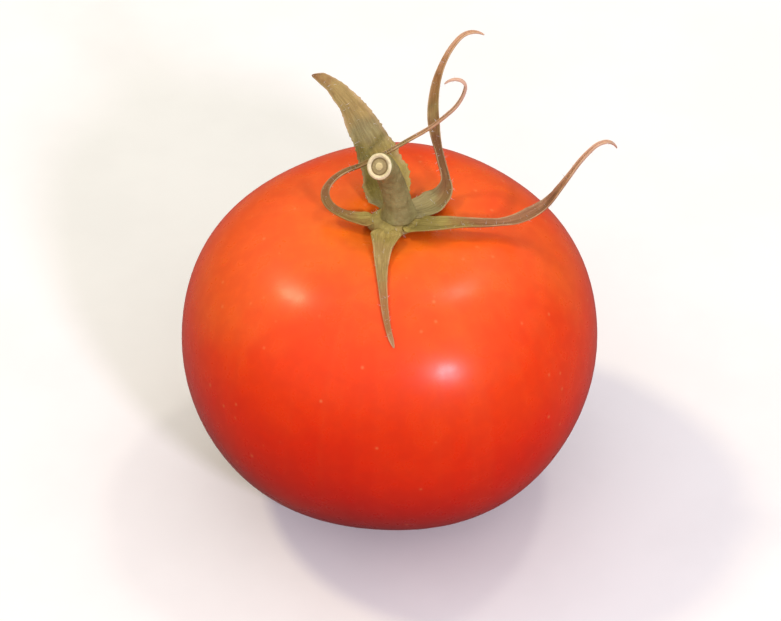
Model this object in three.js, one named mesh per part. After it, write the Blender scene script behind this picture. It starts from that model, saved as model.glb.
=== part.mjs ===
// A ripe round tomato as picked: the fruit, the leafy star on its top and the cut stub of its stalk.
// Millimetres, +Z up. The origin is the middle of the small flat spot that the fruit stands on.
// The star is the calyx: a small green disc, the hub, with five sepals that dried where they curled.
import * as THREE from "three";

// ---- The fruit ----
const FRUIT_DIAMETER = 58; // across its widest part, before the lobes
const FRUIT_HEIGHT = 46.4; // from the flat spot to the crest of the shoulders
const BELT_HEIGHT = 24; // the widest part, above the flat spot
const REST_SPOT_DIAMETER = 14;
const SHOULDER_CREST_DIAMETER = 20; // the highest ring, around the calyx
const DIMPLE_DEPTH = 1.4; // from the crest down to where the calyx sits
const BELLY_FULLNESS = { low: 0.4, side: 0.55 }; // how far each curve holds on before it turns, as a share
const SHOULDER_FULLNESS = { side: 0.62, top: 0.57 };
const DIMPLE_FULLNESS = { crest: 0.45, seat: 0.55 };
const LOBE_SWELL = 0.3; // how far each set of lobes pushes the skin out
const LOBES = [{ count: 2, turn: 10 }, { count: 3, turn: 75 }, { count: 5, turn: 15 }]; // turn in degrees
const FRUIT_SEGMENTS = 48;
const CURVE_POINTS = 9; // along each stretch of the fruit's outline

// ---- The hub and the stalk ----
const HUB_DIAMETER = 6.8;
const HUB_THICKNESS = 1.2;
const HUB_RIM_SHARE = 0.9; // its top is this much narrower than its underside
const HUB_SEGMENTS = 20;
const STALK_WIDTHS = [5.2, 3.9, 3.6, 3.5, 3.5, 3.8]; // flared foot, plain length, slightly swollen cut
const STALK_SIDES = 16;
const STALK = {
  name: "stem_stub",
  offset: [1.1, 0.5], // where its foot stands on the hub
  length: 11.5,
  steps: 14,
  heading: [190, 190, 195, 215, 235, 240],
  climb: [90, 82, 76, 74, 60, 36],
  roll: [0],
};

// ---- The sepals ----
const SEPAL_THICKNESS = 0.6;
const SEPAL_SIDES = 8;
const JOINT_GAP = 0.3; // between two pieces that meet
const SKIN_CLEARANCE = 0.35; // under a sepal that lies on the fruit

// A sepal grows out of the hub at the angle root and turns as it goes. heading is the way it points, seen
// from above, and climb is how steeply it rises; roll turns the blade about its own length. Each list holds
// angles in degrees, spread evenly from root to tip, with 0 along +X. width is spread the same way. A sepal
// that climbs less steeply than the skin under it lies on the skin.
const SEPALS = [
  {
    name: "sepal_front",
    root: -100,
    length: 22,
    steps: 24,
    heading: [-100, -94, -89, -86, -84, -76, -62],
    climb: [25, 0, -20, -35, -45, -50, -50],
    roll: [0],
    width: [3.6, 2.7, 1.9, 1.3, 0.9, 0.8, 0.7],
  },
  {
    name: "sepal_right",
    root: -22,
    length: 34,
    steps: 34,
    heading: [-34, -8, 6, 14, 20, 20, 20, 20, 20],
    climb: [34, 12, -6, -4, 20, 55, 56, 40, -75],
    roll: [0],
    width: [3.2, 2.9, 2.4, 2.6, 2.2, 1.2, 0.9, 0.8, 0.7],
  },
  {
    name: "sepal_back_right",
    root: 27,
    length: 31.5,
    steps: 40,
    heading: [16, 36, 124, 122, 95, 68, 45, 30, -5],
    climb: [8, 24, 62, 64, 65, 64, 56, 40, -35],
    roll: [0],
    width: [3.3, 4.6, 1.2, 1.2, 1.7, 1.3, 1.0, 0.8, 0.7],
  },
  {
    name: "sepal_back",
    root: 95,
    length: 21.5,
    steps: 24,
    heading: [96, 126, 137, 142, 152, 172],
    climb: [36, 57, 58, 52, 40, 20],
    roll: [0],
    width: [5.2, 8.0, 6.4, 5.0, 3.2, 0.9],
  },
  {
    name: "sepal_left",
    root: 184,
    length: 38,
    steps: 48,
    heading: [188, 170, 55, -6, -4, 0, 2, 5, 10, 10],
    climb: [26, 30, 26, 26, 34, 38, 40, 46, 80, 235],
    roll: [0],
    width: [3.0, 2.1, 1.4, 1.1, 0.9, 0.8, 0.8, 0.7, 0.7, 0.7],
  },
];

const radius = FRUIT_DIAMETER / 2;
const crestRadius = SHOULDER_CREST_DIAMETER / 2;
const restRadius = REST_SPOT_DIAMETER / 2;
const seatHeight = FRUIT_HEIGHT - DIMPLE_DEPTH; // the bottom of the dimple
const toRadians = THREE.MathUtils.degToRad;

const skinMaterial = new THREE.MeshStandardMaterial({ color: 0xe23b12, roughness: 0.25, metalness: 0 });
const leafMaterial = new THREE.MeshStandardMaterial({ color: 0x8f8a4a, roughness: 0.8, metalness: 0 });
const stalkMaterial = new THREE.MeshStandardMaterial({ color: 0x8a8f58, roughness: 0.75, metalness: 0 });

// Half of the fruit's section, from the middle of the flat spot up to the middle of the dimple.
function fruitOutline() {
  const outline = new THREE.Path();
  outline.moveTo(0, 0);
  outline.lineTo(restRadius, 0);
  outline.bezierCurveTo(
    restRadius + BELLY_FULLNESS.low * (radius - restRadius), 0,
    radius, BELT_HEIGHT * (1 - BELLY_FULLNESS.side),
    radius, BELT_HEIGHT,
  );
  outline.bezierCurveTo(
    radius, BELT_HEIGHT + SHOULDER_FULLNESS.side * (FRUIT_HEIGHT - BELT_HEIGHT),
    crestRadius + SHOULDER_FULLNESS.top * (radius - crestRadius), FRUIT_HEIGHT,
    crestRadius, FRUIT_HEIGHT,
  );
  outline.bezierCurveTo(
    crestRadius * (1 - DIMPLE_FULLNESS.crest), FRUIT_HEIGHT,
    crestRadius * DIMPLE_FULLNESS.seat, seatHeight,
    0, seatHeight,
  );
  return outline;
}

// How far the lobes move the skin outwards at a bearing. They fade out towards the flat spot and the dimple.
function lobeSwell(bearing, ringRadius) {
  const waves = LOBES.map((lobe) => Math.cos(lobe.count * (bearing - toRadians(lobe.turn))));
  const fade = THREE.MathUtils.smoothstep(ringRadius, restRadius, radius);
  return LOBE_SWELL * fade * waves.reduce((sum, wave) => sum + wave, 0);
}

function makeFruit() {
  const profile = fruitOutline().getPoints(CURVE_POINTS);
  const geometry = new THREE.LatheGeometry(profile, FRUIT_SEGMENTS).rotateX(Math.PI / 2);
  const places = geometry.getAttribute("position");
  for (let i = 0; i < places.count; i++) {
    const ringRadius = Math.hypot(places.getX(i), places.getY(i));
    if (ringRadius < restRadius) continue;
    const grown = 1 + lobeSwell(Math.atan2(places.getY(i), places.getX(i)), ringRadius) / ringRadius;
    places.setXY(i, places.getX(i) * grown, places.getY(i) * grown);
  }
  const mesh = new THREE.Mesh(geometry, skinMaterial);
  mesh.name = "fruit";
  return mesh;
}

// The height of the fruit's upper skin over a place, or of its belt outside the fruit.
const upperSkin = fruitOutline().getPoints(4 * CURVE_POINTS).filter((p) => p.y >= BELT_HEIGHT);
function skinHeight(x, y) {
  const reach = Math.hypot(x, y);
  const bearing = Math.atan2(y, x);
  const grown = upperSkin.map((p) => p.x + lobeSwell(bearing, p.x));
  const outer = grown.findIndex((r, i) => reach <= r && reach >= grown[i + 1]);
  if (outer < 0) return BELT_HEIGHT;
  const share = (grown[outer] - reach) / Math.max(grown[outer] - grown[outer + 1], Number.EPSILON);
  return THREE.MathUtils.lerp(upperSkin[outer].y, upperSkin[outer + 1].y, share);
}

const hubRadius = HUB_DIAMETER / 2;
const hubBottom = skinHeight(hubRadius, 0) + JOINT_GAP;
const hubTop = hubBottom + HUB_THICKNESS;

function makeHub() {
  const topRadius = hubRadius * HUB_RIM_SHARE;
  const geometry = new THREE.CylinderGeometry(topRadius, hubRadius, HUB_THICKNESS, HUB_SEGMENTS);
  geometry.rotateX(Math.PI / 2).translate(0, 0, hubBottom + HUB_THICKNESS / 2);
  const mesh = new THREE.Mesh(geometry, leafMaterial);
  mesh.name = "calyx_hub";
  return mesh;
}

// The value at t, from 0 to 1, in a list of numbers spread evenly.
function along(values, t) {
  const place = t * (values.length - 1);
  const first = Math.min(Math.floor(place), Math.max(values.length - 2, 0));
  return THREE.MathUtils.lerp(values[first], values[first + 1] ?? values[first], place - first);
}

// The places that a growing piece passes through, kept at or above floor(x, y).
function growRoute(start, { length, steps, heading, climb }, floor) {
  const route = [start];
  for (let step = 0; step < steps; step++) {
    const t = (step + 0.5) / steps;
    const turned = toRadians(along(heading, t));
    const risen = toRadians(along(climb, t));
    const level = (length / steps) * Math.cos(risen);
    const next = route[step].clone();
    next.x += level * Math.cos(turned);
    next.y += level * Math.sin(turned);
    next.z += (length / steps) * Math.sin(risen);
    next.z = Math.max(next.z, floor(next.x, next.y));
    route.push(next);
  }
  return route;
}

// A closed bar along a route: an oval of width(t) by thickness(t) at each place of it. settle(ring) gives how
// far each oval is raised, so that a bar can be kept clear of what lies under it.
function sweep(route, { heading, roll, sides, width, thickness, settle }) {
  const steps = route.length - 1;
  const geometry = new THREE.CylinderGeometry(0.5, 0.5, steps, sides, steps);
  const places = geometry.getAttribute("position");
  const rings = route.map(() => []);
  for (let i = 0; i < places.count; i++) {
    const step = Math.round(places.getY(i) + steps / 2);
    const t = step / steps;
    const turned = toRadians(along(heading, t));
    const ahead = route[Math.min(step + 1, steps)].clone().sub(route[Math.max(step - 1, 0)]).normalize();
    const across = new THREE.Vector3(Math.sin(turned), -Math.cos(turned), 0)
      .applyAxisAngle(ahead, toRadians(along(roll, t)));
    const outward = new THREE.Vector3().crossVectors(across, ahead).normalize();
    const placed = route[step].clone()
      .addScaledVector(across, places.getX(i) * width(t))
      .addScaledVector(outward, places.getZ(i) * thickness(t));
    rings[step].push({ i, placed });
  }
  for (const ring of rings) {
    const raise = settle(ring.map(({ placed }) => placed));
    ring.forEach(({ i, placed }) => places.setXYZ(i, placed.x, placed.y, placed.z + raise));
  }
  return geometry;
}

function makeStalk() {
  const foot = hubTop + JOINT_GAP;
  const route = growRoute(new THREE.Vector3(...STALK.offset, foot), STALK, () => foot);
  const width = (t) => along(STALK_WIDTHS, t);
  const settle = (ring) => Math.max(0, ...ring.map((p) => foot - p.z));
  const geometry = sweep(route, { ...STALK, sides: STALK_SIDES, width, thickness: width, settle });
  const mesh = new THREE.Mesh(geometry, stalkMaterial);
  mesh.name = STALK.name;
  return mesh;
}

function makeSepal(sepal) {
  const bearing = toRadians(sepal.root);
  const rootReach = hubRadius + JOINT_GAP;
  const start = new THREE.Vector3(
    rootReach * Math.cos(bearing),
    rootReach * Math.sin(bearing),
    hubBottom + HUB_THICKNESS / 2,
  );
  const clear = (x, y) => skinHeight(x, y) + SKIN_CLEARANCE;
  const route = growRoute(start, sepal, (x, y) => clear(x, y) + SEPAL_THICKNESS / 2);
  const geometry = sweep(route, {
    ...sepal,
    sides: SEPAL_SIDES,
    width: (t) => along(sepal.width, t),
    thickness: () => SEPAL_THICKNESS,
    settle: (ring) => Math.max(0, ...ring.map((p) => clear(p.x, p.y) - p.z)),
  });
  const mesh = new THREE.Mesh(geometry, leafMaterial);
  mesh.name = sepal.name;
  return mesh;
}

const tomato = new THREE.Group();
tomato.add(makeFruit(), makeHub(), makeStalk(), ...SEPALS.map(makeSepal));

export default tomato;
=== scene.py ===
# %% [markdown]
# # A ripe tomato, from its shape to its skin
#
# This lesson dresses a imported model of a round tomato: the fruit, the small green hub on its top, five
# dried sepals and the cut stub of the stalk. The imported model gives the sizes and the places. Each piece
# is modelled again here with the smooth curves, creases and colours of the real plant, and takes its
# plain solid's place. Everything is in metres, and +Z is up.

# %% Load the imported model
import math
import random

import bpy
from mathutils import Matrix, Vector, noise
from mathutils.bvhtree import BVHTree


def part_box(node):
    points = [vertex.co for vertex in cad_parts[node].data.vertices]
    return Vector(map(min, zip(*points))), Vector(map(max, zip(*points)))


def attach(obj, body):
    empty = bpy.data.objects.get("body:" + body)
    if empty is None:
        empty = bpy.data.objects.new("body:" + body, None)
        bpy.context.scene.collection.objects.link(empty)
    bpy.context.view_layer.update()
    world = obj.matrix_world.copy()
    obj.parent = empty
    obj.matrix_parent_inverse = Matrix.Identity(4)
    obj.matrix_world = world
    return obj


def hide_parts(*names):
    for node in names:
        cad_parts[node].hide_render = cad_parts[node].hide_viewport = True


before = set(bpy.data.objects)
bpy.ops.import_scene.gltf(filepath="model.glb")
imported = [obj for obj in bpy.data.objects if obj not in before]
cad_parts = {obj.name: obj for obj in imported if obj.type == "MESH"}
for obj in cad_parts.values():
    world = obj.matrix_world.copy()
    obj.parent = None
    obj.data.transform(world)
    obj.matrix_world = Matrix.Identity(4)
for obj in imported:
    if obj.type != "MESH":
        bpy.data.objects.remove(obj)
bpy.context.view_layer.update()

MM = 0.001
print("nodes:", sorted(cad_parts))

# %% [markdown]
# ## Small helpers
#
# An operator acts on all that is selected. So each piece starts with nothing selected, and ends with its
# mesh moved into place and its object left at the origin. The same few steps could be written out for
# every piece, but as helpers each is written once, and a piece's own cells say only what is special about
# it.

# %% Selecting and finishing
def select_only(*pieces):
    if bpy.context.object and bpy.context.object.mode != "OBJECT":
        bpy.ops.object.mode_set(mode="OBJECT")
    bpy.ops.object.select_all(action="DESELECT")
    for piece in pieces:
        piece.select_set(True)
    bpy.context.view_layer.objects.active = pieces[0] if pieces else None


def start_piece(name, add, **settings):
    """Adds a primitive by one of Blender's own operators, and names it."""
    select_only()
    add(**settings)
    piece = bpy.context.object
    piece.name = piece.data.name = name
    return piece


def edit(piece, kind, everything=False):
    """Goes into edit mode on corners, edges or faces, with all or nothing selected."""
    select_only(piece)
    bpy.ops.object.mode_set(mode="EDIT")
    bpy.ops.mesh.select_mode(type=kind)
    bpy.ops.mesh.select_all(action="SELECT" if everything else "DESELECT")


def choose(piece, kind, keep):
    """Selects the faces or edges that keep is true for. It leaves the piece in edit mode."""
    edit(piece, kind)
    bpy.ops.object.mode_set(mode="OBJECT")
    for part in piece.data.polygons if kind == "FACE" else piece.data.edges:
        part.select = keep(part)
    bpy.ops.object.mode_set(mode="EDIT")


def smooth(piece, levels):
    """Rounds a piece with subdivision, applied, and shades it smooth."""
    select_only(piece)
    rounding = piece.modifiers.new("rounding", "SUBSURF")
    rounding.levels = rounding.render_levels = levels
    bpy.ops.object.modifier_apply(modifier=rounding.name)
    bpy.ops.object.shade_smooth()


def between(values, t):
    """The value at t, from 0 to 1, in a list of numbers spread evenly."""
    place = min(max(t, 0.0), 1.0) * (len(values) - 1)
    first = min(int(place), max(len(values) - 2, 0))
    last = min(first + 1, len(values) - 1)
    return values[first] + (values[last] - values[first]) * (place - first)


def eased(x, low, high):
    """0 below low, 1 above high, and a soft step between."""
    share = min(max((x - low) / (high - low), 0.0), 1.0)
    return share * share * (3 - 2 * share)


def in_mm(lengths):
    """Lengths in metres as rounded millimetres, to print."""
    return [round(length / MM, 2) for length in lengths]


print("a quarter of the way from 0 to 8 is", between((0, 8), 0.25), "and eased it is", eased(2, 0, 8))

# %% [markdown]
# ## Camera and light
#
# The tomato stands on a pale floor and is seen from a little above, about as from a standing height. A
# long lens from half a metre away keeps its roundness true. Three small soft lamps give the skin its
# three highlights. All the rest of the light could come from broad lamps, but each would leave a patch
# with a hard edge on the gloss. So it comes from a soft dome, brightest in front and above. It has no
# edge, and it is dim at the back, so the outline of the skin stays deep red.

# %% The camera
fruit_low, fruit_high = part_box("fruit")
fruit_middle = Vector((0, 0, (fruit_low.z + fruit_high.z) / 2))
CAMERA_ELEVATION = math.radians(42)
CAMERA_DISTANCE = 0.5
LENS = 165
AIM = fruit_middle + Vector((0.0, 0.0, 6.5 * MM))

camera = bpy.data.objects.new("camera", bpy.data.cameras.new("camera"))
bpy.context.scene.collection.objects.link(camera)
toward_camera = Vector((0, -math.cos(CAMERA_ELEVATION), math.sin(CAMERA_ELEVATION)))
camera.location = AIM + toward_camera * CAMERA_DISTANCE
camera.rotation_euler = (-toward_camera).to_track_quat("-Z", "Y").to_euler()
camera.data.lens = LENS
bpy.context.scene.camera = camera
print("camera at", [round(c, 3) for c in camera.location])

# %% The lamps
LAMP_DISTANCE = 1.0


def add_lamp(name, bearing, height, watts, size, colour):
    """A round soft lamp. bearing is how far it stands to the right of straight in front, and height how far
    above level, both in degrees."""
    lamp = bpy.data.objects.new(name, bpy.data.lights.new(name, "AREA"))
    bpy.context.scene.collection.objects.link(lamp)
    turn, rise = math.radians(bearing), math.radians(height)
    toward = Vector((math.sin(turn) * math.cos(rise), -math.cos(turn) * math.cos(rise), math.sin(rise)))
    lamp.location = fruit_middle + toward * LAMP_DISTANCE
    lamp.rotation_euler = (fruit_middle - lamp.location).to_track_quat("-Z", "Y").to_euler()
    lamp.data.shape = "DISK"
    lamp.data.size = size
    lamp.data.energy = watts
    lamp.data.color = colour
    print(name, "at", [round(c, 2) for c in lamp.location])


add_lamp("front_lamp", bearing=25, height=30, watts=4.4, size=0.13, colour=(0.92, 0.80, 1.0))
add_lamp("left_lamp", bearing=-110, height=55, watts=2.8, size=0.14, colour=(1.0, 0.87, 0.56))
add_lamp("right_lamp", bearing=130, height=65, watts=1.0, size=0.12, colour=(1.0, 0.92, 0.80))

# %% The dome of soft light
SKY_DARK = 0.05
SKY_BRIGHT = 0.86
SKY_TOP = (0.0, -0.25, 0.968)  # the dome is brightest towards here, in front and above

SKY_FADE = (-0.4, 1.0)  # how nearly a direction points to SKY_TOP where the dome is darkest and brightest

world = bpy.data.worlds.new("soft_dome")
bpy.context.scene.world = world
world.use_nodes = True
sky = world.node_tree
sky.nodes["Background"].inputs["Color"].default_value = (1, 1, 1, 1)
way = sky.nodes.new("ShaderNodeTexCoord")
facing = sky.nodes.new("ShaderNodeVectorMath")
facing.operation = "DOT_PRODUCT"
facing.inputs[1].default_value = SKY_TOP
glow = sky.nodes.new("ShaderNodeMapRange")
glow.interpolation_type = "SMOOTHSTEP"
for label, value in zip(("From Min", "From Max", "To Min", "To Max"), (*SKY_FADE, SKY_DARK, SKY_BRIGHT)):
    glow.inputs[label].default_value = value
sky.links.new(way.outputs["Generated"], facing.inputs[0])
sky.links.new(facing.outputs["Value"], glow.inputs["Value"])
sky.links.new(glow.outputs["Result"], sky.nodes["Background"].inputs["Strength"])
bpy.context.scene.view_settings.view_transform = "Standard"
print("dome from", SKY_DARK, "to", SKY_BRIGHT)

# %% [markdown]
# ## Shader building blocks
#
# Three effects come back in several finishes, so each is built once as a node group: mottling, which is
# soft cloudy variation; specks, which are small scattered dots; and fibres, which are fine streaks along
# a leaf or a stalk. They could be laid out again in every material, but then a change would have to be
# made in each. Each group puts out one mask, and every material sets its own sizes and colours.

# %% Adding and joining shader nodes
def add_node(tree, kind, links=None, **settings):
    """Adds a node, sets its own properties, and fills its inputs from numbers or other nodes' outputs."""
    node = tree.nodes.new(kind)
    for key, value in settings.items():
        setattr(node, key, value)
    for key, value in (links or {}).items():
        if isinstance(value, bpy.types.NodeSocket):
            tree.links.new(value, node.inputs[key])
        else:
            node.inputs[key].default_value = value
    return node


def maths(tree, operation, first, second=0.5, clamp=False):
    node = add_node(tree, "ShaderNodeMath", {0: first, 1: second}, operation=operation, use_clamp=clamp)
    return node.outputs[0]


def remap(tree, value, low, high, out_low=0.0, out_high=1.0):
    node = add_node(tree, "ShaderNodeMapRange", {
        "Value": value, "From Min": low, "From Max": high, "To Min": out_low, "To Max": out_high,
    }, interpolation_type="SMOOTHSTEP")
    return node.outputs["Result"]


def blend(tree, mask, below, above, mode="MIX"):
    """above laid over below where mask is 1. Colours are tuples or outputs."""
    node = tree.nodes.new("ShaderNodeMix")
    node.data_type = "RGBA"
    node.blend_type = mode
    sockets = {"mask": node.inputs[0], "below": node.inputs[6], "above": node.inputs[7]}
    for key, value in (("mask", mask), ("below", below), ("above", above)):
        if isinstance(value, bpy.types.NodeSocket):
            tree.links.new(value, sockets[key])
        elif key == "mask":
            sockets[key].default_value = value
        else:
            sockets[key].default_value = (*value, 1)
    return node.outputs[2]


def ramp(tree, value, stops):
    """A colour ramp from (place, colour) stops."""
    node = add_node(tree, "ShaderNodeValToRGB", {"Fac": value})
    marks = node.color_ramp.elements
    marks[0].position, marks[0].color = stops[0][0], (*stops[0][1], 1)
    marks[1].position, marks[1].color = stops[-1][0], (*stops[-1][1], 1)
    for place, colour in stops[1:-1]:
        marks.new(place).color = (*colour, 1)
    return node.outputs["Color"]


def new_group(name, inputs, output):
    """An empty shader group with named inputs and one named output. It gives the tree, its input node and a
    function that joins the finished value to the output."""
    group = bpy.data.node_groups.new(name, "ShaderNodeTree")
    for label, kind, value in inputs:
        socket = group.interface.new_socket(name=label, in_out="INPUT", socket_type=kind)
        if value is not None:
            socket.default_value = value
    group.interface.new_socket(name=output, in_out="OUTPUT", socket_type="NodeSocketFloat")
    entry = group.nodes.new("NodeGroupInput")
    leave = group.nodes.new("NodeGroupOutput")
    return group, entry, lambda value: group.links.new(value, leave.inputs[output])


def use_group(tree, group, links):
    node = add_node(tree, "ShaderNodeGroup", node_tree=group)
    for key, value in links.items():
        if isinstance(value, bpy.types.NodeSocket):
            tree.links.new(value, node.inputs[key])
        else:
            node.inputs[key].default_value = value
    return node.outputs[0]


helpers = (add_node, maths, remap, blend, ramp, new_group, use_group)
print("node helpers:", [helper.__name__ for helper in helpers])

# %% Mottling
mottling, entry, give = new_group("mottling", [
    ("Place", "NodeSocketVector", None), ("Scale", "NodeSocketFloat", 100.0),
    ("Low", "NodeSocketFloat", 0.35), ("High", "NodeSocketFloat", 0.65)], "Mask")
clouds = add_node(mottling, "ShaderNodeTexNoise", {
    "Vector": entry.outputs["Place"], "Scale": entry.outputs["Scale"], "Detail": 4.0, "Roughness": 0.55})
give(remap(mottling, clouds.outputs["Fac"], entry.outputs["Low"], entry.outputs["High"]))
print("mottling:", len(mottling.nodes), "nodes")

# %% Specks
specks, entry, give = new_group("specks", [
    ("Place", "NodeSocketVector", None), ("Scale", "NodeSocketFloat", 500.0),
    ("Size", "NodeSocketFloat", 0.16), ("Share", "NodeSocketFloat", 0.3)], "Mask")
cells = add_node(specks, "ShaderNodeTexVoronoi", {
    "Vector": entry.outputs["Place"], "Scale": entry.outputs["Scale"]}, feature="F1")
near = remap(specks, cells.outputs["Distance"], entry.outputs["Size"], 0.0)
pick = add_node(specks, "ShaderNodeSeparateColor", {"Color": cells.outputs["Color"]}).outputs[0]
chosen = maths(specks, "LESS_THAN", pick, entry.outputs["Share"])
give(maths(specks, "MULTIPLY", near, chosen))
print("specks:", len(specks.nodes), "nodes")

# %% Fibres
fibres, entry, give = new_group("fibres", [
    ("Place", "NodeSocketVector", None), ("Across", "NodeSocketFloat", 14.0),
    ("Along", "NodeSocketFloat", 3.0)], "Mask")
split = add_node(fibres, "ShaderNodeSeparateXYZ", {"Vector": entry.outputs["Place"]})
drawn_out = add_node(fibres, "ShaderNodeCombineXYZ", {
    "X": maths(fibres, "MULTIPLY", split.outputs["X"], entry.outputs["Across"]),
    "Y": maths(fibres, "MULTIPLY", split.outputs["Y"], entry.outputs["Along"])})
strands = add_node(fibres, "ShaderNodeTexNoise", {
    "Vector": drawn_out.outputs[0], "Scale": 1.0, "Detail": 5.0, "Roughness": 0.6})
give(remap(fibres, strands.outputs["Fac"], 0.3, 0.7))
print("fibres:", len(fibres.nodes), "nodes")

# %% Starting a material
def start_material(name):
    """A new material with its shader, ready to be joined up."""
    material = bpy.data.materials.new(name)
    material.use_nodes = True
    tree = material.node_tree
    return material, tree, tree.nodes["Principled BSDF"]


def add_bump(tree, shader, height, depth, strength=1.0):
    """Fine relief: depth is its height in metres."""
    bump = add_node(tree, "ShaderNodeBump", {"Height": height, "Distance": depth, "Strength": strength})
    tree.links.new(bump.outputs["Normal"], shader.inputs["Normal"])


print("node groups to build finishes from:", [group.name for group in bpy.data.node_groups])

# %% [markdown]
# ## The floor
#
# A plain sheet of pale card. It is set under the fruit's rest spot, and it isn't part of the object. A
# white floor would throw its own light up and wash the lower skin out to pink. It could be made darker
# all over, but then it wouldn't look pale. A studio lays a dark cloth out of view to stop the bounce.
# Here the card looks pale when it is seen straight, and grey to light that bounces off it.

# %% Make the floor
floor = start_piece("floor", bpy.ops.mesh.primitive_plane_add, size=6.0, location=(0, 0, 0))
card, tree, shader = start_material("pale_card")
grain = use_group(tree, mottling, {
    "Place": add_node(tree, "ShaderNodeTexCoord").outputs["Object"], "Scale": 40.0})
pale = blend(tree, grain, (0.90, 0.90, 0.90), (0.93, 0.93, 0.93))
seen = add_node(tree, "ShaderNodeLightPath").outputs["Is Camera Ray"]
tree.links.new(blend(tree, seen, (0.20, 0.19, 0.19), pale), shader.inputs["Base Color"])
shader.inputs["Roughness"].default_value = 0.85
shader.inputs["Specular IOR Level"].default_value = 0.2
floor.data.materials.append(card)
print("floor:", [round(side, 2) for side in floor.dimensions], "m")

# %% [markdown]
# ## The fruit
#
# A tomato is round from above, but its side view is its own: a small flat spot underneath, a full belly,
# and shoulders that roll over into a shallow dimple. It could be pushed and pulled out of a ball, but
# then each of these would have to be found by eye. So half of the outline is drawn, by pulling one corner
# along it, and then spun round the core, as on a potter's wheel. A real one is never quite round, so low
# lobes are pushed out afterwards, the same ones as the solid's. No operator swells a ring by its bearing,
# so the corners are moved in code.

# %% The fruit's outline
FRUIT_RADIUS = 29 * MM
FRUIT_HEIGHT = fruit_high.z
BELT_HEIGHT = 24 * MM
REST_RADIUS = 7 * MM
CREST_RADIUS = 10 * MM
DIMPLE_DEPTH = 1.4 * MM
SCAR_RADIUS = 1.5 * MM  # where the flower fell off, a tiny pit in the flat spot
SCAR_DEPTH = 0.35 * MM
LOBE_SWELL = 0.3 * MM
LOBES = ((2, 10), (3, 75), (5, 15))  # how many lobes, and how far round they are turned, in degrees
SPIN_STEPS = 128
seat_height = FRUIT_HEIGHT - DIMPLE_DEPTH


def bezier(start, pull_out, pull_in, end, points):
    """The places along a curve, without its start."""
    places = []
    for step in range(1, points + 1):
        t = step / points
        shares = ((1 - t) ** 3, 3 * (1 - t) ** 2 * t, 3 * (1 - t) * t * t, t ** 3)
        places.append(tuple(sum(share * value for share, value in zip(shares, along))
                            for along in zip(start, pull_out, pull_in, end)))
    return places


def fruit_outline():
    rise = FRUIT_HEIGHT - BELT_HEIGHT
    reach = FRUIT_RADIUS - REST_RADIUS
    shelf = FRUIT_RADIUS - CREST_RADIUS
    places = [(0, SCAR_DEPTH), (0.5 * SCAR_RADIUS, 0.9 * SCAR_DEPTH), (SCAR_RADIUS, 0)]
    places += [(0.5 * REST_RADIUS, 0), (REST_RADIUS, 0)]
    places += bezier((REST_RADIUS, 0), (REST_RADIUS + 0.4 * reach, 0), (FRUIT_RADIUS, 0.45 * BELT_HEIGHT),
                     (FRUIT_RADIUS, BELT_HEIGHT), 14)
    places += bezier((FRUIT_RADIUS, BELT_HEIGHT), (FRUIT_RADIUS, BELT_HEIGHT + 0.62 * rise),
                     (CREST_RADIUS + 0.57 * shelf, FRUIT_HEIGHT), (CREST_RADIUS, FRUIT_HEIGHT), 14)
    places += bezier((CREST_RADIUS, FRUIT_HEIGHT), (0.55 * CREST_RADIUS, FRUIT_HEIGHT),
                     (0.55 * CREST_RADIUS, seat_height), (0, seat_height), 8)
    return places


print("outline:", len(fruit_outline()), "points from the scar to the dimple")

# %% Draw it and spin it
def make_fruit():
    outline = fruit_outline()
    fruit = start_piece("tomato_fruit", bpy.ops.mesh.primitive_plane_add, size=MM, location=(0, 0, 0))
    edit(fruit, "VERT", everything=True)
    bpy.ops.mesh.merge(type="CENTER")
    bpy.ops.transform.translate(value=(0, 0, outline[0][1]))
    for (r0, z0), (r1, z1) in zip(outline, outline[1:]):
        bpy.ops.mesh.extrude_vertices_move(TRANSFORM_OT_translate={"value": (r1 - r0, 0, z1 - z0)})
    bpy.ops.mesh.select_all(action="SELECT")
    bpy.ops.mesh.spin(steps=SPIN_STEPS, angle=2 * math.pi, center=(0, 0, 0), axis=(0, 0, 1))
    bpy.ops.mesh.select_all(action="SELECT")
    bpy.ops.mesh.remove_doubles(threshold=1e-6)
    bpy.ops.mesh.normals_make_consistent(inside=False)
    bpy.ops.object.mode_set(mode="OBJECT")
    return fruit


def lobe_swell(bearing, ring_radius):
    waves = sum(math.cos(count * (bearing - math.radians(turn))) for count, turn in LOBES)
    return LOBE_SWELL * eased(ring_radius, REST_RADIUS, FRUIT_RADIUS) * waves


def push_out_lobes(fruit):
    for vertex in fruit.data.vertices:
        ring_radius = math.hypot(vertex.co.x, vertex.co.y)
        if ring_radius < REST_RADIUS:
            continue
        grown = 1 + lobe_swell(math.atan2(vertex.co.y, vertex.co.x), ring_radius) / ring_radius
        vertex.co.x *= grown
        vertex.co.y *= grown


fruit = make_fruit()
push_out_lobes(fruit)
smooth(fruit, levels=1)
print("fruit:", len(fruit.data.polygons), "faces")
print("solid", in_mm(fruit_high - fruit_low), "mm, piece", in_mm(fruit.dimensions), "mm")
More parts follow.
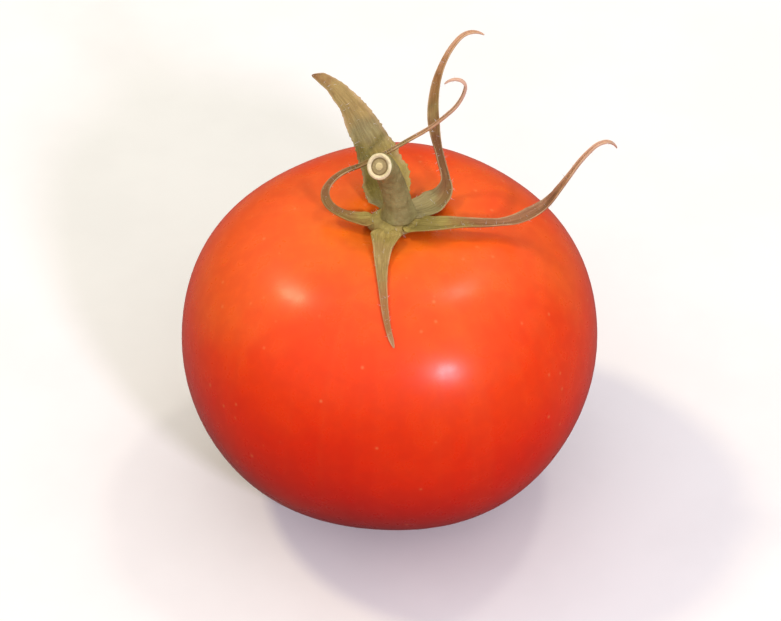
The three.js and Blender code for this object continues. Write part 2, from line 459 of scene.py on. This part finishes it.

# %% [markdown]
# ## The skin
#
# Ripe skin is a thin, clear, waxy layer over soft flesh. Its red isn't even: the shoulders stay more
# orange around the calyx, the lower part is a deeper red, and faint paler lines run down from the top. The
# darkening towards the bottom is partly the fruit's own colour and partly painted shade, where less light
# falls. Tiny pale pores are scattered all over. A painted skin could be wrapped round the fruit, but it
# would stretch at both ends. So each spot's colour is worked out from its height and from how far it is
# from the core. A little light goes into the flesh and comes out red, and a thin clear coat gives the
# gloss.

# %% Make the skin
def make_skin():
    material, tree, shader = start_material("tomato_skin")
    place = add_node(tree, "ShaderNodeTexCoord").outputs["Object"]
    split = add_node(tree, "ShaderNodeSeparateXYZ", {"Vector": place})
    broad = use_group(tree, mottling, {"Place": place, "Scale": 34.0, "Low": 0.3, "High": 0.7})
    fine = use_group(tree, mottling, {"Place": place, "Scale": 420.0, "Low": 0.35, "High": 0.65})
    level = add_node(tree, "ShaderNodeCombineXYZ", {"X": split.outputs["X"], "Y": split.outputs["Y"]})
    outward = {0: level.outputs[0]}
    bearing = add_node(tree, "ShaderNodeVectorMath", outward, operation="NORMALIZE").outputs[0]
    reach = add_node(tree, "ShaderNodeVectorMath", outward, operation="LENGTH").outputs["Value"]

    height = remap(tree, split.outputs["Z"], 0.0, FRUIT_HEIGHT)
    uneven = maths(tree, "MULTIPLY", maths(tree, "SUBTRACT", broad, 0.5), 0.22)
    ripeness_and_painted_shade = maths(tree, "ADD", height, uneven, clamp=True)
    # The red is darkest at the bottom and most orange at the top. This is partly the fruit's own colour and
    # partly painted shade on the less lit underside.
    red = ramp(tree, ripeness_and_painted_shade, [
        (0.0, (0.46, 0.005, 0.001)), (0.30, (0.72, 0.011, 0.001)), (0.60, (0.88, 0.026, 0.001)),
        (0.85, (0.94, 0.056, 0.003)), (1.0, (0.94, 0.115, 0.012))])
    shoulder = remap(tree, reach, 18 * MM, 3 * MM)
    above = maths(tree, "GREATER_THAN", split.outputs["Z"], BELT_HEIGHT)
    near_calyx = maths(tree, "MULTIPLY", maths(tree, "MULTIPLY", shoulder, above), 0.8)
    red = blend(tree, near_calyx, red, (0.96, 0.210, 0.014))

    lines = use_group(tree, mottling, {"Place": bearing, "Scale": 7.0, "Low": 0.48, "High": 0.75})
    lines = maths(tree, "MULTIPLY", maths(tree, "MULTIPLY", lines, height), 0.16)
    red = blend(tree, lines, red, (0.95, 0.16, 0.03))
    red = blend(tree, maths(tree, "MULTIPLY", fine, 0.14), red, (0.55, 0.012, 0.003))
    pores = use_group(tree, specks, {"Place": place, "Scale": 520.0, "Size": 0.20, "Share": 0.22})
    red = blend(tree, maths(tree, "MULTIPLY", pores, 0.45), red, (0.98, 0.30, 0.10))

    low = maths(tree, "LESS_THAN", split.outputs["Z"], 1.5 * MM)
    cork = maths(tree, "MULTIPLY", remap(tree, reach, 2.4 * MM, 1.2 * MM), low)
    tree.links.new(blend(tree, cork, red, (0.36, 0.20, 0.09)), shader.inputs["Base Color"])

    rough = maths(tree, "ADD", maths(tree, "MULTIPLY", fine, 0.06), 0.27)
    rough = maths(tree, "ADD", rough, maths(tree, "MULTIPLY", cork, 0.4))
    tree.links.new(rough, shader.inputs["Roughness"])
    shader.inputs["Subsurface Weight"].default_value = 0.12
    shader.inputs["Subsurface Radius"].default_value = (1.0, 0.22, 0.08)
    shader.inputs["Subsurface Scale"].default_value = 3 * MM
    shader.inputs["Coat Weight"].default_value = 0.08
    shader.inputs["Coat Roughness"].default_value = 0.22
    shader.inputs["IOR"].default_value = 1.33
    waviness = use_group(tree, mottling, {"Place": place, "Scale": 70.0, "Low": 0.0, "High": 1.0})
    add_bump(tree, shader, waviness, depth=0.03 * MM, strength=0.15)
    return material


fruit.data.materials.append(make_skin())
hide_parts("fruit")
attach(fruit, "root")
print("skin:", len(fruit.data.materials[0].node_tree.nodes), "nodes")

# %% [markdown]
# ## How the green parts grow
#
# A stalk or a sepal is a strip that keeps turning as it grows. So each has a list of headings, which way
# it points seen from above, and a list of climbs, how steeply it rises. Walking along in small strides
# gives its route, and at each place three directions: ahead, across and outward. A straight blank is then
# laid on the route. What comes near the fruit is held up by the skin, found by looking straight down onto
# it. A strip could be bent by hand, but no operator here bends one along a route, so its corners are
# moved in code, and the lists stay easy to read and to change.

# %% The skin as a floor
skin_tree = BVHTree.FromObject(fruit, bpy.context.evaluated_depsgraph_get())
SKY = 0.2


def skin_height(x, y):
    hit = skin_tree.ray_cast(Vector((x, y, SKY)), Vector((0, 0, -1)))[0]
    return hit.z if hit else BELT_HEIGHT


print("the skin is", in_mm([skin_height(0, 0), skin_height(0, -CREST_RADIUS)]), "mm high at core and crest")

# %% Walking a route
def grow_route(start, length, heading, climb, roll=(0,), steps=120, lift=None):
    """A list of (place, across, outward) along a growing piece, from root to tip."""
    places = [Vector(start)]
    for step in range(steps):
        t = (step + 0.5) / steps
        turned, risen = math.radians(between(heading, t)), math.radians(between(climb, t))
        stride = length / steps
        level = stride * math.cos(risen)
        ahead = Vector((level * math.cos(turned), level * math.sin(turned), stride * math.sin(risen)))
        place = places[-1] + ahead
        if lift is not None:
            place.z = max(place.z, skin_height(place.x, place.y) + lift)
        places.append(place)
    route = []
    for step, place in enumerate(places):
        t = step / steps
        turned = math.radians(between(heading, t))
        ahead = (places[min(step + 1, steps)] - places[max(step - 1, 0)]).normalized()
        across = Vector((math.sin(turned), -math.cos(turned), 0))
        across.rotate(Matrix.Rotation(math.radians(between(roll, t)), 3, ahead))
        route.append((place, across, across.cross(ahead).normalized()))
    return route


def on_route(route, t):
    """The place, across and outward at t, from 0 to 1."""
    spot = min(max(t, 0.0), 1.0) * (len(route) - 1)
    first = min(int(spot), len(route) - 2)
    share = spot - first
    place, across, outward = (a.lerp(b, share) for a, b in zip(route[first], route[first + 1]))
    return place, across.normalized(), outward.normalized()


quarter_turn = grow_route((0, 0, 0), 10 * MM, heading=(0, 90), climb=(0,))
print("a 10 mm strip that turns from 0 to 90 degrees ends at", in_mm(quarter_turn[-1][0]), "mm")

# %% [markdown]
# ## The hub
#
# The hub is the green disc that the sepals and the stalk share. It could be one piece with them, but the
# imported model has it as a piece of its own. It starts as a short drum. Its top is inset and raised
# towards the stalk. Between two sepals its rim drops and draws in, so that the sepals seem to grow out of
# it, and a little unevenness gives it creases.

# %% Make the hub
hub_low, hub_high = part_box("calyx_hub")
HUB_RADIUS = (hub_high.x - hub_low.x) / 2
HUB_THICKNESS = hub_high.z - hub_low.z
HUB_STEPS = ((0.5, 0.1), (0.7, 0.12), (0.8, 0.1))  # how far in and up each ring of the top goes, in mm
HUB_EDGE = 0.8 * MM  # the inset of the underside
RIM_DROP = (0.35, 0.30)  # mm at a sepal's root, and more of it between two roots
CREASE = 0.10 * MM
HUB_DOME = 0.25 * MM
SEPAL_ROOTS = (-100, -22, 27, 95, 184)  # the bearings that the sepals leave at, in degrees


def root_share(bearing):
    """1 where a sepal leaves the hub, and 0 between two of them."""
    gaps = [abs((bearing - root + 180) % 360 - 180) for root in SEPAL_ROOTS]
    return 1 - eased(min(gaps), 6, 34)


def make_hub():
    hub = start_piece("calyx_hub_disc", bpy.ops.mesh.primitive_cylinder_add, vertices=60, radius=HUB_RADIUS,
                      depth=HUB_THICKNESS, location=(0, 0, 0))
    choose(hub, "FACE", lambda face: face.normal.z > 0.9)
    for inset, rise in HUB_STEPS:
        bpy.ops.mesh.inset(thickness=inset * MM)
        bpy.ops.transform.translate(value=(0, 0, rise * MM))
    choose(hub, "FACE", lambda face: face.normal.z < -0.9)
    bpy.ops.mesh.inset(thickness=HUB_EDGE)
    bpy.ops.object.mode_set(mode="OBJECT")
    top = HUB_THICKNESS / 2
    for vertex in hub.data.vertices:
        reach = math.hypot(vertex.co.x, vertex.co.y)
        bearing = math.degrees(math.atan2(vertex.co.y, vertex.co.x))
        rim = eased(reach, 0.55 * HUB_RADIUS, HUB_RADIUS)
        if vertex.co.z > 0:
            vertex.co.z -= rim * (RIM_DROP[0] + RIM_DROP[1] * (1 - root_share(bearing))) * MM
        crease = noise.noise(Vector((vertex.co.x, vertex.co.y, 0)) * 900)
        vertex.co.z = min(vertex.co.z + crease * CREASE, top + HUB_DOME)
        vertex.co.xy *= 1 - 0.10 * rim * (1 - root_share(bearing))
        vertex.co.z += (hub_low.z + hub_high.z) / 2
    smooth(hub, levels=2)
    return hub


hub = make_hub()
print("hub:", in_mm(hub.dimensions), "mm")

# %% [markdown]
# ## The stalk
#
# The stalk is a ribbed green rod, flared where it meets the hub and cut through at its end. It starts as
# an upright drum of unit size. Its top face is inset ring by ring, as the cut shows them: the bark's
# edge, a pale woody ring, a darker ring and the soft pith. The rings could be painted on, but as insets
# they catch the light, and each has its own finish. The sides are cut across by subdividing, ribbed, and
# then the whole drum is laid on the stalk's route.

# %% The blank of the stalk
STALK_WIDTHS = (5.2, 3.9, 3.6, 3.5, 3.5, 3.8)  # mm, from foot to cut
STALK_OFFSET = (1.1 * MM, 0.5 * MM)
STALK_LENGTH = 11.5 * MM
STALK_HEADING = (190, 190, 195, 215, 235, 240)
STALK_CLIMB = (90, 82, 76, 74, 60, 36)
STALK_CUTS = 30
STALK_RIBS = 7
RIB_TWIST = 2.2
RIB_HEIGHT = 0.030  # as a share of the width
BARK_UNEVENNESS = 0.035  # as a share of the width
BARK, WOOD, DARK, PITH, HAIR, FLESH = range(6)  # the places of the stalk's finishes
CUT_RINGS = (  # inset, rise and finish of each ring of the cut, from the bark inwards
    (0.022, 0.006, WOOD), (0.050, 0.012, WOOD), (0.065, 0.000, WOOD), (0.035, -0.018, DARK),
    (0.060, 0.004, FLESH), (0.080, 0.000, FLESH), (0.050, 0.006, PITH), (0.060, 0.006, PITH))
RING_RISE = 4  # how many times over the rises are raised on the blank


def stalk_blank():
    """A drum of width 1 and length 1 along Z. Its top holds the rings of the cut as their own finishes."""
    stalk = start_piece("stalk_stub", bpy.ops.mesh.primitive_cylinder_add, vertices=56, radius=0.5,
                        depth=1.0, location=(0, 0, 0))

    def runs_up(edge):
        foot, head = (stalk.data.vertices[end].co.z for end in edge.vertices)
        return abs(foot - head) > 0.5

    choose(stalk, "EDGE", runs_up)
    bpy.ops.mesh.subdivide(number_cuts=STALK_CUTS)
    choose(stalk, "FACE", lambda face: face.normal.z > 0.9)
    for inset, rise, finish in CUT_RINGS:
        bpy.ops.mesh.inset(thickness=inset)
        bpy.ops.transform.translate(value=(0, 0, rise * RING_RISE))
        bpy.ops.object.mode_set(mode="OBJECT")
        for face in stalk.data.polygons:
            if face.select:
                face.material_index = finish
        bpy.ops.object.mode_set(mode="EDIT")
    bpy.ops.object.mode_set(mode="OBJECT")
    return stalk


stalk = stalk_blank()
print("blank:", len(stalk.data.polygons), "faces,", len(CUT_RINGS), "rings in the cut")

# %% Lay the stalk on its route
def lay_stalk(stalk):
    """Bends the drum along its route, and gives it its width, ribs and unevenness."""
    route = grow_route((*STALK_OFFSET, hub_high.z), STALK_LENGTH, STALK_HEADING, STALK_CLIMB, steps=60)
    mean_width = sum(STALK_WIDTHS) / len(STALK_WIDTHS) * MM
    for vertex in stalk.data.vertices:
        x, y, z = vertex.co
        t = z + 0.5
        bearing = math.atan2(y, x)
        side = eased(math.hypot(x, y), 0.38, 0.5)
        rib = math.cos(STALK_RIBS * bearing + RIB_TWIST * t) * RIB_HEIGHT
        rough = noise.noise(Vector((3 * math.cos(bearing), 3 * math.sin(bearing), 9 * t))) * BARK_UNEVENNESS
        swell = 1 + (rib + rough) * (1 - 0.85 * min(t, 1.0) ** 4) * side
        place, across, outward = on_route(route, t)
        width = between(STALK_WIDTHS, t) * MM
        past_end = max(t - 1.0, 0.0) * mean_width
        vertex.co = (place + across * (x * width * swell) + outward * (y * width * swell)
                     + outward.cross(across) * past_end)


lay_stalk(stalk)
smooth(stalk, levels=1)
stalk_low, stalk_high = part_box("stem_stub")
print("stalk: solid", in_mm(stalk_high - stalk_low), "mm, piece", in_mm(stalk.dimensions), "mm")

# %% [markdown]
# ## One blade for five sepals
#
# All five sepals are the same leaf, dried into different curls. Each could be modelled from the start,
# but then five pieces would have to be kept alike. So one flat blade is modelled once, as a fine grid
# pulled down into a thin sheet, and each sepal is a copy with its own mesh. Laying a copy on its route
# gives it its length, width and curl, rolls its margins in, and presses in the groove along its middle.

# %% The blade
BLADE_CELLS = (12, 110)
BLADE_THICKNESS = 0.34 * MM


def make_blade():
    """A sheet from -0.5 to 0.5 across X and 0 to 1 along Y. Its underside is at Z = -1."""
    across, along = BLADE_CELLS
    blade = start_piece("blade", bpy.ops.mesh.primitive_grid_add, x_subdivisions=across,
                        y_subdivisions=along, size=1.0, location=(0, 0, 0), calc_uvs=True)
    edit(blade, "FACE", everything=True)
    bpy.ops.transform.translate(value=(0, 0.5, 0))
    bpy.ops.mesh.extrude_region_move(TRANSFORM_OT_translate={"value": (0, 0, -1.0)})
    bpy.ops.mesh.select_all(action="SELECT")
    bpy.ops.mesh.normals_make_consistent(inside=False)
    bpy.ops.object.mode_set(mode="OBJECT")
    return blade


blade = make_blade()
print("blade:", len(blade.data.vertices), "corners")

# %% Laying a blade
ROOT_GAP = 0.3 * MM
SKIN_LIFT = 0.36 * MM
INWARD = 1.6 * MM  # how far a sepal's base reaches in over the hub
SKIN_SPACE = 0.06 * MM  # between the skin and the lowest part of a sepal
GROOVE_DEPTH = 0.10 * MM
VEIN_HEIGHT = 0.035 * MM
CRUMPLE = 0.08  # as a share of the width


def lay_blade(sepal, route, width, cup, seed, ragged):
    """Bends a flat blade along a route. cup is how far round its margins are rolled, in degrees, and ragged
    is how uneven their outline is, as a share of the width."""
    for vertex in sepal.data.vertices:
        x, t, under = vertex.co.x, vertex.co.y, -vertex.co.z
        edge = abs(2 * x)
        tooth = noise.noise(Vector((t * 80 + seed, 3.0 * math.copysign(1, x), 0)))
        point = min(math.sqrt(max(1 - t, 0) / 0.06), 1)
        taper = max(point, 0.08) * min(0.35 + t / 0.04, 1)
        here = between(width, t) * MM * (1 + ragged * tooth * edge) * taper
        rolled = max(math.radians(between(cup, t)), 0.05)
        angle = x * rolled
        over = here * math.sin(angle) / rolled
        up = here * (1 - math.cos(angle)) / rolled
        groove = -GROOVE_DEPTH * math.exp(-((x / 0.09) ** 2)) * (1 - 0.7 * t)
        veins = VEIN_HEIGHT * math.cos(x * 42) * (1 - edge * 0.5)
        crumple = noise.noise(Vector((x * 2.5, t * 9, seed))) * CRUMPLE * here
        sheet = BLADE_THICKNESS * (1 - 0.35 * t) * (1 - 0.45 * edge ** 3) * (0.4 + 0.6 * point)
        place, across, outward = on_route(route, t)
        normal = (outward * math.cos(angle) - across * math.sin(angle))
        spot = place + across * over + outward * (up + crumple) + normal * (groove + veins - under * sheet)
        spot.z = max(spot.z, skin_height(spot.x, spot.y) + SKIN_SPACE + (1 - under) * sheet)
        vertex.co = spot


print("sheet:", in_mm([BLADE_THICKNESS]), "mm thick at the root")

# %% [markdown]
# ## The five sepals
#
# The front one lies on the skin. The right one runs along the shoulder and then lifts off it. The one at
# the back right folds up sharply and ends in a hook. The back one is the broadest, and leans to the left
# behind the stalk. The left one loops round behind the stalk and ends in a thread with a curl. They could
# be dried by a simulation, but it wouldn't give these five curls, so each is steered by its own lists.

# %% How each sepal grows
SEPALS = {
    "front": dict(
        root=-100, length=22, width=(4.7, 2.7, 1.7, 1.2, 0.95, 0.75, 0.5), cup=(40, 70, 100, 120, 140),
        heading=(-100, -94, -89, -86, -84, -76, -62), climb=(25, 0, -20, -35, -45, -50, -50)),
    "right": dict(
        root=-22, length=34, width=(4.6, 3.0, 2.1, 1.6, 2.5, 1.5, 0.85, 0.7, 0.55),
        cup=(40, 90, 130, 90, 110, 160, 190, 200),
        heading=(-34, -8, 6, 14, 20, 20, 20, 20, 20), climb=(34, 12, -6, -4, 20, 55, 56, 40, -75)),
    "back_right": dict(
        root=27, length=31.5, width=(4.0, 4.6, 1.3, 1.3, 1.8, 1.4, 1.0, 0.75, 0.55),
        cup=(50, 70, 150, 150, 110, 110, 130, 160),
        heading=(16, 36, 124, 122, 95, 68, 45, 30, -5), climb=(8, 24, 62, 64, 65, 64, 56, 40, -35)),
    "back": dict(
        root=95, length=21.5, width=(5.6, 8.0, 6.6, 5.2, 3.7, 1.6), cup=(70, 75, 55, 45, 60, 90),
        heading=(96, 126, 137, 142, 152, 172), climb=(36, 57, 58, 52, 40, 20), ragged=0.16),
    "left": dict(
        root=184, length=38, width=(3.8, 1.8, 1.1, 0.9, 0.75, 0.65, 0.6, 0.55, 0.5, 0.45),
        cup=(50, 90, 120, 150, 180, 200),
        heading=(188, 170, 55, -6, -4, 0, 2, 5, 10, 10), climb=(26, 30, 26, 26, 34, 38, 40, 46, 80, 235)),
}


ROOT_RISE = 0.35 * MM  # how far the roots stand up over the hub


def sepal_route(root, length, heading, climb):
    """A sepal's route from the hub's rim, with the direction that it leaves in."""
    bearing = math.radians(root)
    out = Vector((math.cos(bearing), math.sin(bearing), 0))
    start = out * (HUB_RADIUS + ROOT_GAP) + Vector((0, 0, (hub_low.z + hub_high.z) / 2))
    return grow_route(start, length * MM, heading, climb, lift=SKIN_LIFT), start, out


def grow_sepal(name, root, length, width, cup, heading, climb, ragged=0.05):
    """A copy of the blade, laid on its route with its base reaching in over the hub."""
    route, start, out = sepal_route(root, length, heading, climb)
    first_across, first_outward = route[0][1], route[0][2]
    base = []
    for share in (1.0, 0.75, 0.5, 0.25):
        arch = Vector((0, 0, (0.40 * share - 0.5 * share ** 4) * MM))
        base.append((start - out * INWARD * share + arch, first_across, first_outward))
    for place, _, _ in base + route:
        place.z += ROOT_RISE * (1 - eased(place.xy.length, HUB_RADIUS, 1.9 * HUB_RADIUS))
    sepal = blade.copy()
    sepal.data = blade.data.copy()
    sepal.name = sepal.data.name = "sepal_" + name + "_leaf"
    bpy.context.scene.collection.objects.link(sepal)
    lay_blade(sepal, base + route, width, cup, 10.0 * (1 + list(SEPALS).index(name)), ragged)
    smooth(sepal, levels=1)
    return sepal


sepals = {name: grow_sepal(name, **facts) for name, facts in SEPALS.items()}
for name, sepal in sepals.items():
    low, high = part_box("sepal_" + name)
    print(name, "solid", in_mm(high - low), "mm, piece", in_mm(sepal.dimensions), "mm")
bpy.data.objects.remove(blade)

# %% [markdown]
# ## Fine hairs
#
# Tomato greens are covered in short pale hairs. They could be grown by a particle system, but its hairs
# aren't part of a piece's mesh, and are lost when the piece is used elsewhere. So one hair is modelled as
# a thin three-sided spike and copied to many places. They are few enough to stay light.

# %% Make and scatter the hairs
HAIR_LENGTH = 0.55 * MM
HAIR_RADIUS = 0.022 * MM
HAIR_SIZES = (0.45, 1.15)  # the shortest and the longest, as shares of HAIR_LENGTH
HAIR_LEAN = 0.5
chance = random.Random(7)


def make_hair():
    hair = start_piece("hair", bpy.ops.mesh.primitive_cone_add, vertices=3, radius1=HAIR_RADIUS, radius2=0,
                       depth=HAIR_LENGTH, location=(0, 0, HAIR_LENGTH / 2))
    bpy.ops.object.transform_apply(location=True)
    return hair


def scatter_hairs(piece, hair, count, material_index):
    """Joins count copies of the hair to a piece, each leaning its own way."""
    copies = []
    vertices = piece.data.vertices
    for _ in range(count):
        vertex = vertices[chance.randrange(len(vertices))]
        lean = Vector([chance.uniform(-HAIR_LEAN, HAIR_LEAN) for _ in range(3)])
        aim = (vertex.normal + lean).normalized().to_track_quat("Z", "Y").to_matrix().to_4x4()
        size = Matrix.Scale(chance.uniform(*HAIR_SIZES), 4)
        copy = hair.copy()
        copy.data = hair.data.copy()
        copy.data.transform(Matrix.Translation(vertex.co) @ aim @ size)
        for face in copy.data.polygons:
            face.material_index = material_index
        bpy.context.scene.collection.objects.link(copy)
        copies.append(copy)
    select_only(piece, *copies)
    bpy.ops.object.join()


hair = make_hair()
print("hair:", in_mm([HAIR_LENGTH]), "mm long,", len(hair.data.polygons), "faces")

# %% [markdown]
# ## Small teeth
#
# The margin of the right sepal has dried into a few small points. They could be pulled out of the blade,
# but a tooth is finer than its cells. So each is one hair, made larger and set on the margin.

# %% Teeth on a margin
TEETH = ((0.70, -1), (0.76, -1), (0.93, 1))  # how far along the right sepal, and on which margin
TOOTH_SIZE = (3.2, 3.2, 1.7)  # against one hair, across and along


def add_tooth(piece, hair, share, side):
    """One hair, made larger, at its place on the right sepal's edge."""
    facts = SEPALS["right"]
    route = sepal_route(facts["root"], facts["length"], facts["heading"], facts["climb"])[0]
    place, across, outward = on_route(route, share)
    spot = place + across * side * between(facts["width"], share) * MM * 0.42
    aim = (across * side + outward * 0.5).to_track_quat("Z", "Y").to_matrix().to_4x4()
    copy = hair.copy()
    copy.data = hair.data.copy()
    copy.data.transform(Matrix.Translation(spot) @ aim @ Matrix.Diagonal((*TOOTH_SIZE, 1)))
    bpy.context.scene.collection.objects.link(copy)
    select_only(piece, copy)
    bpy.ops.object.join()


for share, _ in TEETH:
    print("tooth", round(share * SEPALS["right"]["length"], 1), "mm along the right sepal")

# %% [markdown]
# ## The colours of drying leaves
#
# Near the hub the greens are still alive, a yellowish olive. Further out they have dried to khaki, then
# brown, and the thinnest tips are a pale pinkish tan. A colour that changed with height could do for a
# straight leaf, but these curl up, over and back. So a leaf's colour follows its own map from root to
# tip, broken up by mottling, with fibres running along it and paler margins.

# %% Tones
OLIVE = (0.440, 0.350, 0.090)
GREY_GREEN = (0.390, 0.330, 0.140)
KHAKI = (0.480, 0.340, 0.120)
BROWN = (0.340, 0.165, 0.060)
MAUVE = (0.420, 0.200, 0.095)
RUST = (0.520, 0.250, 0.090)
TAN = (0.760, 0.430, 0.230)
PEACH = (1.000, 0.620, 0.420)
TONES = {
    "front": (OLIVE, KHAKI, KHAKI, RUST, RUST, TAN),
    "right": (OLIVE, OLIVE, BROWN, MAUVE, MAUVE, TAN, PEACH, PEACH),
    "back_right": (GREY_GREEN, GREY_GREEN, BROWN, BROWN, KHAKI, RUST, TAN, PEACH),
    # The back sepal's fourth tone, grey-green at mid-length, is a painted shadow of the stalk's end.
    "back": (GREY_GREEN, OLIVE, OLIVE, GREY_GREEN, KHAKI, KHAKI, BROWN),
    "left": (OLIVE, BROWN, BROWN, KHAKI, TAN, PEACH, PEACH),
}
LEAF_MARGIN = (0.68, 0.47, 0.24)
LEAF_DOTS = (0.62, 0.52, 0.30)
# Tones are multiplied by this for the fibres' own dark streaks, and for painted shade in the middle groove.
STREAK_AND_GROOVE_SHADE = (0.55, 0.49, 0.42)  # what a tone is multiplied by in the fibres and the groove


def make_leaf(name, tones):
    material, tree, shader = start_material("leaf_" + name)
    coordinates = add_node(tree, "ShaderNodeTexCoord")
    leaf_map = add_node(tree, "ShaderNodeSeparateXYZ", {"Vector": coordinates.outputs["UV"]})
    patches = use_group(tree, mottling, {
        "Place": coordinates.outputs["Object"], "Scale": 330.0, "Low": 0.3, "High": 0.7})
    strands = use_group(tree, fibres, {"Place": coordinates.outputs["UV"], "Across": 16.0, "Along": 9.0})
    dots = use_group(tree, specks, {
        "Place": coordinates.outputs["Object"], "Scale": 2600.0, "Size": 0.35, "Share": 0.35})

    drift = maths(tree, "MULTIPLY", maths(tree, "SUBTRACT", patches, 0.5), 0.14)
    along = maths(tree, "ADD", leaf_map.outputs["Y"], drift, clamp=True)
    colour = ramp(tree, along, [(i / (len(tones) - 1), tone) for i, tone in enumerate(tones)])
    darker = blend(tree, 1.0, colour, STREAK_AND_GROOVE_SHADE, mode="MULTIPLY")
    streaky = remap(tree, leaf_map.outputs["Y"], 0.5, 1.0, 0.62, 0.20)
    colour = blend(tree, maths(tree, "MULTIPLY", strands, streaky), colour, darker)
    from_middle = maths(tree, "ABSOLUTE", maths(tree, "SUBTRACT", leaf_map.outputs["X"], 0.5))
    margin = maths(tree, "MULTIPLY", remap(tree, from_middle, 0.34, 0.5), patches)
    margin = maths(tree, "MULTIPLY", margin, remap(tree, leaf_map.outputs["Y"], 0.08, 0.30))
    colour = blend(tree, maths(tree, "MULTIPLY", margin, 0.7), colour, LEAF_MARGIN)
    # The middle groove is darkened: painted shade in the crease.
    groove = remap(tree, from_middle, 0.07, 0.0)
    colour = blend(tree, maths(tree, "MULTIPLY", groove, 0.35), colour, darker)
    colour = blend(tree, maths(tree, "MULTIPLY", dots, 0.35), colour, LEAF_DOTS)
    tree.links.new(colour, shader.inputs["Base Color"])
    rough = maths(tree, "ADD", maths(tree, "MULTIPLY", patches, 0.2), 0.62)
    tree.links.new(rough, shader.inputs["Roughness"])
    shader.inputs["Specular IOR Level"].default_value = 0.3
    relief = maths(tree, "ADD", strands, maths(tree, "MULTIPLY", dots, 0.6))
    add_bump(tree, shader, relief, depth=0.09 * MM, strength=0.8)
    return material


for name, sepal in sepals.items():
    sepal.data.materials.clear()
    sepal.data.materials.append(make_leaf(name, TONES[name]))
    print(sepal.data.materials[0].name, "has", len(TONES[name]), "tones from root to tip")

# %% [markdown]
# ## The finishes of the hub, the stalk and its cut
#
# The hub and the bark are alive and matt: two mottled tones with small pale dots, where hairs broke off.
# The cut shows pale wood, a darker ring, olive flesh and a pale middle. They could all be one green, but
# then the cut wouldn't read as a cut. So one maker of greens is used six times, each with its own three
# tones.

# %% The hub's and the stalk's finishes
PATCH_SCALE = 380.0  # patches to a metre


def make_green(name, base, dark, pale):
    """A living green skin: two mottled tones, with small pale dots."""
    material, tree, shader = start_material(name)
    place = add_node(tree, "ShaderNodeTexCoord").outputs["Object"]
    patches = use_group(tree, mottling, {"Place": place, "Scale": PATCH_SCALE, "Low": 0.3, "High": 0.7})
    small = use_group(tree, mottling, {"Place": place, "Scale": 4 * PATCH_SCALE, "Low": 0.35, "High": 0.65})
    dots = use_group(tree, specks, {"Place": place, "Scale": 2400.0, "Size": 0.33, "Share": 0.35})
    colour = blend(tree, patches, base, dark)
    colour = blend(tree, maths(tree, "MULTIPLY", small, 0.4), colour, dark)
    colour = blend(tree, maths(tree, "MULTIPLY", dots, 0.45), colour, pale)
    tree.links.new(colour, shader.inputs["Base Color"])
    tree.links.new(maths(tree, "ADD", maths(tree, "MULTIPLY", small, 0.2), 0.6), shader.inputs["Roughness"])
    shader.inputs["Specular IOR Level"].default_value = 0.3
    add_bump(tree, shader, maths(tree, "ADD", small, maths(tree, "MULTIPLY", dots, 0.5)), depth=0.06 * MM)
    return material


def make_hair_finish():
    material, tree, shader = start_material("pale_hair")
    place = add_node(tree, "ShaderNodeTexCoord").outputs["Object"]
    patches = use_group(tree, mottling, {"Place": place, "Scale": 500.0})
    straw = blend(tree, patches, (0.62, 0.55, 0.36), (0.74, 0.66, 0.46))
    tree.links.new(straw, shader.inputs["Base Color"])
    shader.inputs["Roughness"].default_value = 0.6
    return material


stalk_green = make_green("stalk_green", (0.370, 0.330, 0.130), (0.230, 0.195, 0.070), (0.52, 0.46, 0.23))
wood_ring = make_green("cut_wood_ring", (0.92, 0.80, 0.52), (0.78, 0.64, 0.36), (0.96, 0.88, 0.64))
dark_ring = make_green("cut_dark_ring", (0.30, 0.22, 0.095), (0.20, 0.14, 0.055), (0.45, 0.36, 0.17))
pith = make_green("cut_pith", (0.80, 0.66, 0.34), (0.62, 0.48, 0.22), (0.90, 0.80, 0.48))
flesh = make_green("cut_flesh", (0.50, 0.40, 0.19), (0.34, 0.25, 0.11), (0.64, 0.53, 0.28))
hair_finish = make_hair_finish()
hub_green = make_green("hub_green", (0.460, 0.370, 0.100), (0.260, 0.200, 0.060), (0.58, 0.49, 0.22))
for finish in (stalk_green, wood_ring, dark_ring, pith, hair_finish, flesh):
    stalk.data.materials.append(finish)
hub.data.materials.append(hub_green)
for piece in (hub, *sepals.values()):
    piece.data.materials.append(hair_finish)
print("stalk finishes:", [finish.name for finish in stalk.data.materials])

# %% [markdown]
# ## Hairs on, and every piece in place
#
# The hairs are joined on last, so that the smoothing doesn't round them away. They could stay pieces of
# their own, but a hair never leaves its leaf. Then each piece takes its plain solid's place and rides on
# the one body.

# %% Place the hairs
HAIRS = {"front": 60, "right": 130, "back_right": 130, "back": 150, "left": 130}
STALK_HAIRS = 160
HUB_HAIRS = 50
for name, sepal in sepals.items():
    scatter_hairs(sepal, hair, HAIRS[name], material_index=1)
for share, side in TEETH:
    add_tooth(sepals["right"], hair, share, side)
scatter_hairs(stalk, hair, STALK_HAIRS, material_index=HAIR)
scatter_hairs(hub, hair, HUB_HAIRS, material_index=1)
bpy.data.objects.remove(hair)
print("hairs:", sum(HAIRS.values()) + STALK_HAIRS + HUB_HAIRS)

# %% Let every piece ride
for name, sepal in sepals.items():
    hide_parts("sepal_" + name)
    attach(sepal, "root")
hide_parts("calyx_hub")
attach(hub, "root")
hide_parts("stem_stub")
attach(stalk, "root")
print("pieces:", {piece.name: len(piece.data.polygons) for piece in (fruit, hub, stalk, *sepals.values())})
